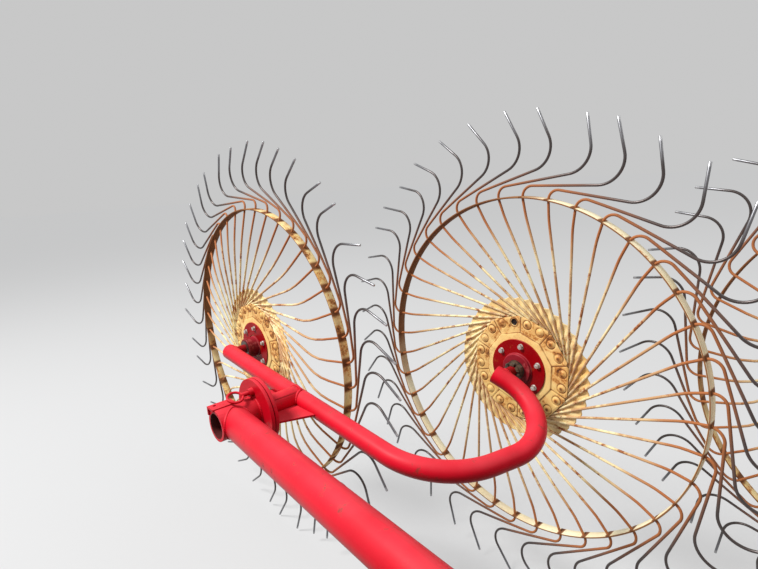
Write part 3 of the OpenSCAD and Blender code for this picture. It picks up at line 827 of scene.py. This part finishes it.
for i, hub in enumerate(hubs, start=1):
    stamping = front_plate(19 if i == 2 else 7 * i % BOSSES, radians(PLATE_TURNS[i - 1]))
    plate = make_piece(f"front_plate_{i}", [stamping], PLATE, "panels")
    on_hub(sharpen(plate, 55), hub, i, f"plate_{i}")
print("front plates:", len(hubs), "with", BOSSES, "bosses each")

# %% [markdown]
# ## The plate behind the wires
# The rear plate is a polar grid again, pressed into waves, one for each wire. They grow towards
# its edge, which is scalloped where the metal was drawn in.

# %% Back plate
def back_plate(lean, steps=480):
    """A wavy ring of sheet; lean is how far its edge stands behind its middle, in metres."""
    verts = []
    rows = [36, 70, 100, 120, 135, 150, 160, 170, 180, 188, 195, 200, 203, 205]
    layers = [(radius, 0.0) for radius in rows] + [(radius, 2.6) for radius in rows[::-1]]
    for k in range(steps):
        angle = 2 * pi * k / steps
        wave = cos(angle * TINES)
        for radius, thick in layers:
            grow = soft_step(radius, 125, 200)
            edge = 1 + 0.012 * (wave - 1) * soft_step(radius, 180, 205)
            high = (1.2 + thick + 1.7 * wave * grow + 0.9 * grow) * MM
            high += lean * max(0.0, radius - 150) / (205 - 150)
            verts.append(around(angle, radius * MM * edge, high))
    return verts, grid_faces(steps, len(layers), close_rows=True)


for i, hub in enumerate(hubs, start=1):
    lean = LEAN_SHARE * (SPOKE_BENDS[i - 1][2] - DISHES[i - 1])
    sheet = make_piece(f"back_plate_{i}", [back_plate(lean)], BACK)
    on_hub(sheet, hub, i, f"wheel_{i}")
print("back plates:", len(hubs), "with", TINES, "waves each")

# %% [markdown]
# ## Hub, bolts and nut
# A thin red flange clamps the plates with six bolts. A greasy boss stands out of it, and a
# castle nut on the spindle holds it. The hubs in front of their hoops show their longer end
# instead. Turned parts are a profile turned about the axle, with small edges that catch the
# light. The nut does not turn, so it rides on the arm. Sizes here are in millimetres.

# %% Helpers: turned and six-sided parts
def turned(profile, steps):
    """A closed (radius, axle) profile in millimetres turned about the axle."""
    return turned_ring([(r * MM, y * MM) for r, y in profile], steps)[:2]


def lathe(name, profile, material, steps):
    return sharpen(make_piece(name, [turned(profile, steps)], material), 34)


def hex_prism(across, low, high, chamfer):
    """A hexagonal head between two places on the axle, with a turned chamfer on its low side."""
    corner, steps = across / sqrt(3), 24
    verts = []
    for k in range(steps):
        angle = 2 * pi * k / steps
        flat = across / 2 / cos((angle % (pi / 3)) - pi / 6)
        top = min(flat, corner - chamfer) - chamfer * 0.6
        dip = chamfer * 0.55 * (flat - across / 2) / (corner - across / 2)
        for radius, place in ((flat, high), (flat, low + dip), (top, low)):
            verts.append(around(angle, radius * MM, place * MM))
    faces = grid_faces(steps, 3, close_rows=True, close_columns=False)
    faces.append(tuple(k * 3 + 2 for k in range(steps)))
    faces.append(tuple(k * 3 for k in range(steps))[::-1])
    return verts, faces


def disc(radius, low, high, lip=0.4):
    profile = [(0.5, low), (radius - lip, low), (radius, low + lip), (radius, high), (0.5, high)]
    return turned(profile, 24)


def castle_nut(across, low, high, slots, deep):
    """A hexagon nut whose far half is cut by slots, as for a split pin."""
    parts = [hex_prism(across, low + deep, high, 0.4)]
    inner, outer, root = SPINDLE_BORE, across / 2 - 1.5, low + deep + 0.5
    section = [(inner, low), (outer, low), (outer, root), (inner, root)]
    for k in range(slots):
        tooth = [around(2 * pi * k / slots + turn, radius * MM, place * MM)
                 for turn in (-0.36, -0.12, 0.12, 0.36) for radius, place in section]
        parts.append((tooth, grid_faces(4, 4) + [(0, 3, 2, 1), (12, 13, 14, 15)]))
    return parts


def moved(part, matrix):
    return [matrix @ v for v in part[0]], part[1]

# %% Sections of the hub, in radius and axle
SPINDLE_BORE, BOLT_RING = 15.6, 68 * MM
FLANGE = [(40, -9.5), (85, -9.5), (85, -12.4), (84, -13.2), (40, -13.2)]
BACK_OF_BARREL = [(34, 38.5), (32.5, 40), (SPINDLE_BORE, 40)]
BOSS = [(SPINDLE_BORE, -22), (42.5, -22), (44, -20.5), (44.5, -14.5), (47, -13), (47, -11), (34, -11)]
BARREL = [(SPINDLE_BORE, -50), (32, -50), (34, -48), (34, -15), (37, -13), (37, -11), (34, -11)]
SEAL = [(15.2, -0.4), (27, -0.4), (27.6, -1.2), (27, -2.4), (15.2, -2.6)]

# %% Hubs, bolts and nuts
for i, hub in enumerate(hubs, start=1):
    long_side = DISHES[i - 1] < 0
    outline = BARREL if long_side else BOSS
    # The flange takes the darker red, painted shade.
    flange = lathe(f"hub_flange_{i}", FLANGE, RED_PAINTED_SHADE, 128)
    boss = lathe(f"hub_boss_{i}", outline + BACK_OF_BARREL, RED_GREASY, 96)
    seal = [(r, outline[0][1] + y) for r, y in SEAL]
    seal = lathe(f"hub_seal_{i}", seal, GREASE, 48)
    bolts = []
    for k in range(6):
        spin = Matrix.Rotation(radians(10 + 60 * k), 4, "Y") @ Matrix.Translation((0, 0, BOLT_RING))
        twist = spin @ Matrix.Rotation(0.7 * k, 4, "Y")
        behind = spin @ Matrix.Rotation(pi, 4, "Z") @ Matrix.Rotation(0.9 * k, 4, "Y")
        bolts += [moved(hex_prism(12, -21.5, -14.6, 1.4), twist),
                  moved(disc(8.2, -14.8, -13), spin),
                  moved(disc(3.4, -22.6, -21), spin),
                  moved(hex_prism(13, -12.4, -5.4, 1.2), behind),
                  moved(disc(8.4, -5.6, -4.0), behind),
                  moved(disc(3.6, -16, -12), behind)]
    heads = sharpen(make_piece(f"hub_bolts_{i}", bolts, ZINC), 30)
    for piece in (flange, boss, seal):
        on_hub(piece, hub, i, f"hub_{i}")
    on_hub(heads, hub, i)
    if not long_side:
        nut = make_piece(f"spindle_nut_{i}", castle_nut(50, -43, -26, 6, 7), NUT_BROWN)
        nut.location = heads.location
        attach(sharpen(nut, 30), "arm_a" if i < 3 else "arm_b")
print("hubs:", len(hubs), "with 6 bolts each")

# %% [markdown]
# ## Crank arms
# Each arm is one pipe, bent twice: it runs straight past the front wheel and hooks round the
# edge of the rear one to reach its hub. A swept circle gives it, with true arcs at the bends.

# %% Arms
ARM_PATH = [
    (-PITCH_X / 2 - 14 * MM, -ARM_GAP, HUB_Z + 2 * MM),
    (PITCH_X / 2 + 106.5 * MM, -ARM_GAP + 2 * MM, HUB_Z - 101 * MM),
    (PITCH_X / 2 + 213 * MM, PITCH_Y - 43 * MM, HUB_Z - 102 * MM),
    (PITCH_X / 2 - 20 * MM, PITCH_Y - 89 * MM, HUB_Z + 4 * MM),
]
ARM_BENDS = [200 * MM, 150 * MM]
pairs = [Vector((-PITCH_X, hubs[0].y, 0)), Vector((PITCH_X, hubs[2].y, 0))]


def capped_pipe(line, radius, sides=48, lip=1.6 * MM):
    """A bar whose ends are flat caps with a small chamfer."""
    total = line_length(line)
    dense = [line[0], line[0].lerp(line[1], 0.004)] + line[1:-1] + [line[-1].lerp(line[-2], 0.006), line[-1]]
    size = lambda s: radius - lip if s < 1e-6 or s > total - 1e-6 else radius
    return swept_bar(dense, size, sides, round_ends=False)


for letter, origin in zip(SIDES, pairs):
    line = [origin + p for p in bent_line(ARM_PATH, ARM_BENDS, radians(3))]
    pipe = make_piece(f"arm_pipe_{letter}", [capped_pipe(line, ARM_D / 2)], RED)
    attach(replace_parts(sharpen(pipe, 60), f"arm_{letter}"), f"arm_{letter}")
print("arm pipe length:", round(line_length(line), 3), "m")

# %% [markdown]
# ## Finishes for the solids that stay
# Turned and sawn parts keep their CAD shape. No steel part has a solid's knife edges, so each
# gets a small bevel as a modifier, which leaves the mesh itself alone.

# %% CAD nodes
KEPT = [
    (RED, ["main_tube", "brace", "index_disc_a", "index_disc_b", "hitch_beam", "mast", "mast_stay_left",
           "mast_stay_right", "strut_left", "strut_right", "leg_socket", "leg", "arm_disc_a", "arm_disc_b",
           "arm_gusset_a", "arm_gusset_b", "lock_pin_a", "lock_pin_b"]),
    (STEEL, ["top_pin", "lower_pin_left", "lower_pin_right"]),
    # The spindles take the darker red, painted shade.
    (RED_PAINTED_SHADE, [f"spindle_{i}" for i in (1, 2, 3, 4)]),
    (RED_SHADED_BORES[0], ["pivot_sleeve_a", "arm_shaft_a"]),
    (RED_SHADED_BORES[1], ["cross_tube", "arm_shaft_b"]),
]


def soften(solid):
    merge = solid.modifiers.new("merge", "WELD")
    merge.merge_threshold = 0.00001
    bevel = solid.modifiers.new("soft_edges", "BEVEL")
    bevel.width, bevel.segments, bevel.limit_method = 1.0 * MM, 2, "ANGLE"
    bevel.angle_limit = radians(40)
    bevel.harden_normals = True


for material, names in KEPT:
    for name in names:
        solid = frame["nodes"][name]
        solid.data.materials.clear()
        solid.data.materials.append(material)
        soften(solid)
print("solids kept:", sum(len(names) for _, names in KEPT))

# %% [markdown]
# ## Weld beads
# A weld bead is a thin bar with a ripple, laid along the line where one pipe meets another.
# That line is found by walking from the branch pipe's skin, along the branch, until it meets
# the skin of the pipe it stands on.

# %% Helpers: where a pipe meets another pipe or a flat face
def skin_lines(root, direction, radius, count=200):
    direction = direction.normalized()
    first = direction.orthogonal().normalized()
    second = direction.cross(first)
    for k in range(count):
        angle = 2 * pi * k / count
        yield root + (first * cos(angle) + second * sin(angle)) * radius, direction


def meet_pipe(root, direction, radius, axis_point, axis, pipe_radius):
    """The line where a branch pipe that comes from root along direction meets a pipe."""
    axis = axis.normalized()
    line = []
    for start, way in skin_lines(root, direction, radius):
        offset = start - axis_point
        offset -= axis * offset.dot(axis)
        slope = way - axis * way.dot(axis)
        a, b = slope.dot(slope), 2 * offset.dot(slope)
        c = offset.dot(offset) - pipe_radius ** 2
        root_term = max(0.0, b * b - 4 * a * c)
        line.append(start + way * ((-b - sqrt(root_term)) / (2 * a)))
    return line


def meet_plane(root, direction, radius, plane_point, normal):
    return [start + way * ((plane_point - start).dot(normal) / way.dot(normal))
            for start, way in skin_lines(root, direction, radius)]


def bead(line, size=3.4, closed=True):
    """A rippled bead along the line; its size is a radius in millimetres."""
    def rippled(s):
        wobble = noise.noise(Vector((s * 60, 0, 0)))
        return size * MM * (1 + 0.13 * sin(s / (0.62 * MM)) + 0.22 * wobble)
    return swept_bar(line, rippled, 8, closed=closed)


def run(start, end, size=2.6):
    """A straight bead between two points."""
    count = int((end - start).length / (1.1 * MM))
    return bead([start.lerp(end, k / count) for k in range(count + 1)], size, closed=False)

# %% [markdown]
# ## The welds of the frame and of the arms
# One short list per joint: the branch, what it stands on, and the body that carries the bead.

# %% Places on the frame
UP, BACKWARD = Vector((0, 0, 1)), Vector((0, 1, 0))
BRACE_R, STRUT_R, STAY_R, SPINDLE_R, BEAM_HALF = 24 * MM, 28 * MM, 17 * MM, 15 * MM, 30
HITCH_SKEW, HITCH_X, HITCH_Y, STAY_SPREAD = radians(-18), -60 * MM, -907 * MM, 240
pivot_a, pivot_b = (Vector((pivot.x, 0, pivot.z)) for pivot in pivots)
tube_way = Vector((cos(TUBE_SKEW), -sin(TUBE_SKEW), 0))
tube_root = Vector((pivot_a.x, hubs[0].y - TUBE_GAP, pivot_a.z))
hitch_turn = Matrix.Rotation(HITCH_SKEW, 4, "Z")
pivot_mm = pivot_a.z / MM
top_mm = pivot_mm + BEAM_HALF


def on_tube(x):
    return tube_root + tube_way * ((x - tube_root.x) / tube_way.x)


def in_hitch(x, y, z):
    """A place in millimetres along the hitch beam, in front of or behind it, and up."""
    return Vector((HITCH_X, HITCH_Y, 0)) + hitch_turn @ Vector((x * MM, y * MM, z * MM))


print("hitch beam's middle:", [round(c, 3) for c in in_hitch(0, 0, pivot_mm)])

# %% Welds of the frame
beads = []
for way, pivot in ((-tube_way, pivot_a), (tube_way, pivot_b)):
    beads.append(bead(meet_pipe(on_tube(0.3), way, TUBE_D / 2, pivot, BACKWARD, SLEEVE_D / 2), 4))
for origin, pivot in zip(pairs, (pivot_a, pivot_b)):
    face = origin.y + DISC_Y - DISC_T - 1 * MM
    sleeve_end = Vector((pivot.x, face - 0.2, pivot.z))
    line = meet_plane(sleeve_end, BACKWARD, SLEEVE_D / 2, Vector((0, face, 0)), BACKWARD)
    beads.append(bead(line, 4.2))
brace_a, brace_b = on_tube(100 * MM), Vector((pivot_b.x, 273 * MM, pivot_b.z))
brace_way = (brace_b - brace_a).normalized()
middle = brace_a.lerp(brace_b, 0.5)
for way, root, axis, radius in ((-brace_way, tube_root, tube_way, TUBE_D / 2),
                                (brace_way, pivot_b, BACKWARD, SLEEVE_D / 2)):
    beads.append(bead(meet_pipe(middle, way, BRACE_R, root, axis, radius)))
for x0, x1 in ((-260, -60), (260, 430)):
    start, end = in_hitch(x0, 0, pivot_mm), on_tube(x1 * MM)
    way, middle = (end - start).normalized(), start.lerp(end, 0.5)
    beads.append(bead(meet_pipe(middle, way, STRUT_R, tube_root, tube_way, TUBE_D / 2)))
    beam_back = meet_plane(middle, -way, STRUT_R, in_hitch(0, BEAM_HALF, 0), hitch_turn @ BACKWARD)
    beads.append(bead(beam_back))
for s in (-1, 1):
    low, high = in_hitch(s * STAY_SPREAD, 0, top_mm - 20), in_hitch(s * 30, 0, 950)
    side = hitch_turn @ Vector((s, 0, 0))
    for point, normal in ((in_hitch(0, 0, top_mm), UP), (in_hitch(s * 40, 0, 0), side)):
        beads.append(bead(meet_plane(low, (high - low).normalized(), STAY_R, point, normal), 3))
    for x0, y0, x1, y1 in ((28, -30, 40, -30), (28, 30, 40, 30), (40, -27, 40, 27), (40, 27, 40, -27)):
        beads.append(run(in_hitch(s * x0, y0, top_mm), in_hitch(s * x1, y1, top_mm)))
    for z in (pivot_mm - BEAM_HALF, pivot_mm + BEAM_HALF):
        beads.append(run(in_hitch(s * 297.5, -27, z), in_hitch(s * 297.5, 27, z)))
for x in (113, 175):
    beads.append(run(in_hitch(x, -BEAM_HALF, pivot_mm - 28), in_hitch(x, -BEAM_HALF, pivot_mm + 28)))
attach(make_piece("frame_welds", beads, RED), "frame")
print("beads on the frame:", len(beads))

# %% Welds of the arms
for letter, origin, pivot in zip(SIDES, pairs, (pivot_a, pivot_b)):
    path = [origin + Vector(p) for p in ARM_PATH]
    shaft = Vector((pivot.x, origin.y - 200 * MM, pivot.z))
    rear = origin.y + DISC_Y + DISC_T + 1 * MM
    beads = [
        bead(meet_pipe(shaft, BACKWARD, SHAFT_D / 2, path[0], path[1] - path[0], ARM_D / 2), 4),
        bead(meet_plane(shaft, -BACKWARD, SHAFT_D / 2, Vector((0, rear, 0)), BACKWARD), 3.6),
    ]
    for place, first in (((-PITCH_X / 2, 0, HUB_Z), 0), ((PITCH_X / 2, PITCH_Y, HUB_Z), 2)):
        hub, way = origin + Vector(place), path[first + 1] - path[first]
        beads.append(bead(meet_pipe(hub, -BACKWARD, SPINDLE_R, path[first], way, ARM_D / 2), 3))
    for s in (-1, 1):
        corner = Vector((pivot.x + s * 28 * MM, origin.y - 158 * MM, pivot.z - 14 * MM))
        at_disc = Vector((corner.x, rear, corner.z))
        beads += [run(corner, corner + Vector((s * 92 * MM, 0, 0)), 2.8), run(corner, at_disc, 2.8),
                      run(at_disc, at_disc + Vector((s * 52 * MM, 0, 0)), 2.8)]
    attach(make_piece(f"arm_welds_{letter}", beads, RED), f"arm_{letter}")
print("beads on each arm:", len(beads))

# %% [markdown]
# ## Small parts
# A grease nipple feeds each pivot, and a spring clip keeps the link on each lower pin. They are
# tiny, but a hitch without them looks unfinished. A turned profile and a swept wire make them.

# %% Nipples and clips
NIPPLE = [(0.5, 0), (5, 0), (5, 5), (3, 6), (2.6, 9), (3.4, 10.5), (3.2, 12.5), (0.5, 13.5)]
for letter, origin, pivot in zip(SIDES, pairs, (pivot_a, pivot_b)):
    nipple = make_piece(f"grease_nipple_{letter}", [turned(NIPPLE, 24)], RED)
    sharpen(nipple, 40)
    way = Vector((-0.8, 0, -0.6))
    nipple.rotation_euler = way.to_track_quat("Y", "Z").to_euler()
    nipple.location = Vector((pivot.x, origin.y - 325 * MM, pivot.z)) + way * (SLEEVE_D / 2 - 0.5 * MM)
    bpy.context.view_layer.update()
    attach(nipple, "frame")


def clip_line(middle, along):
    """A spring clip: a straight leg through the pin, which points along, and a loop beside it."""
    aside = along.cross(UP)
    line = [middle - UP * 26 * MM, middle + UP * 20 * MM]
    for k in range(2, 21):
        angle = pi * 1.35 * k / 20 - 0.2
        line.append(middle + UP * (20 + 10 * sin(angle)) * MM + aside * 18 * MM * (1 - cos(angle)))
    return line


clips = []
for s in (-1, 1):
    middle = in_hitch(s * 391.5, 0, 540)
    clips.append(swept_bar(clip_line(middle, hitch_turn @ Vector((s, 0, 0))), 2.2 * MM, 10))
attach(make_piece("hitch_clips", clips, ZINC), "frame")
print("nipples and clips:", len(SIDES) + len(clips))

# %% [markdown]
# ## Finish
# The dressed model must keep the size of the solids; here the view layer is brought up to date.

# %% Finish
bpy.context.view_layer.update()
